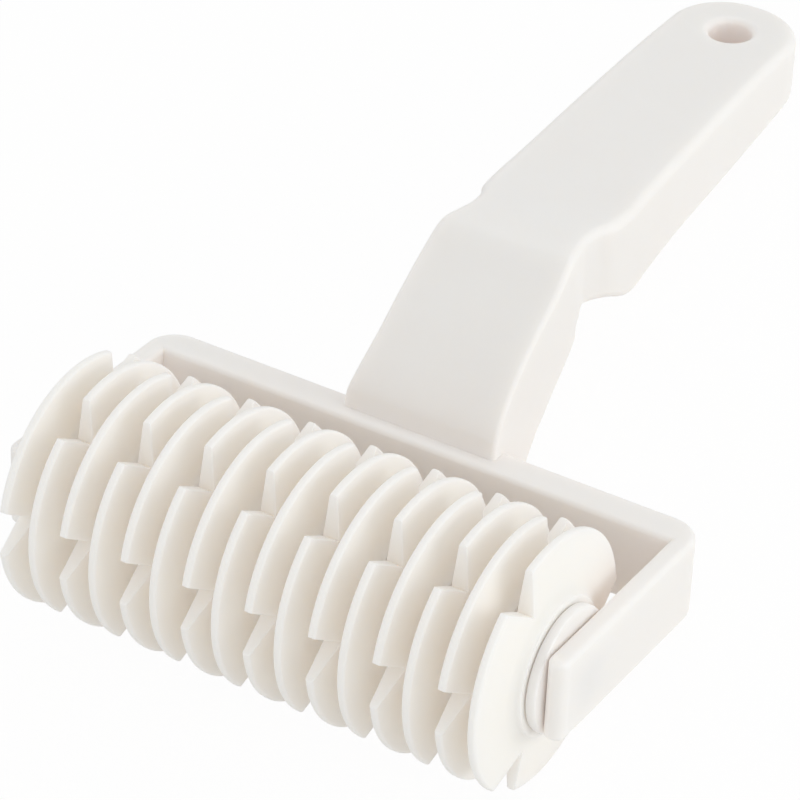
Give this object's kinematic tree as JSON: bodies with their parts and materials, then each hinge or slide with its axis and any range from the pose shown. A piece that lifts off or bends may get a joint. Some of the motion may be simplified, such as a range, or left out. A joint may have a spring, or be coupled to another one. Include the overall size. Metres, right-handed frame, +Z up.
{
  "type": "lattice roller cutter",
  "caption": "Hand roller with notched plastic discs on an axle in a forked handle, which cuts a lattice of slits into rolled dough.",
  "frame": {"origin": "on the ground under the middle of the tool's length and width, as it lies on its discs and the end of its grip", "axes": "+X along the roller, +Y from the roller back towards the grip, +Z up"},
  "size_m": [0.12, 0.199, 0.05],
  "materials": {
    "white_plastic": "moulded, satin",
    "ivory_plastic": "moulded, satin"
  },
  "bodies": {
    "frame": {"handle_frame": "white_plastic", "thrust_washer_left": "ivory_plastic", "thrust_washer_right": "ivory_plastic"},
    "roller": {"roller_axle": "ivory_plastic", "cutter_disc_01": "ivory_plastic", "cutter_disc_02": "ivory_plastic", "cutter_disc_03": "ivory_plastic", "cutter_disc_04": "ivory_plastic", "cutter_disc_05": "ivory_plastic", "cutter_disc_06": "ivory_plastic", "cutter_disc_07": "ivory_plastic", "cutter_disc_08": "ivory_plastic", "cutter_disc_09": "ivory_plastic", "cutter_disc_10": "ivory_plastic", "cutter_disc_11": "ivory_plastic", "cutter_disc_12": "ivory_plastic", "cutter_disc_13": "ivory_plastic", "cutter_disc_14": "ivory_plastic", "cutter_disc_15": "ivory_plastic", "cutter_disc_16": "ivory_plastic"}
  },
  "joints": [
    {"name": "roller_spin", "type": "hinge", "parent": "frame", "child": "roller", "pos_m": [0, -0.07454, 0.025], "axis": [1, 0, 0], "continuous": true}
  ]
}
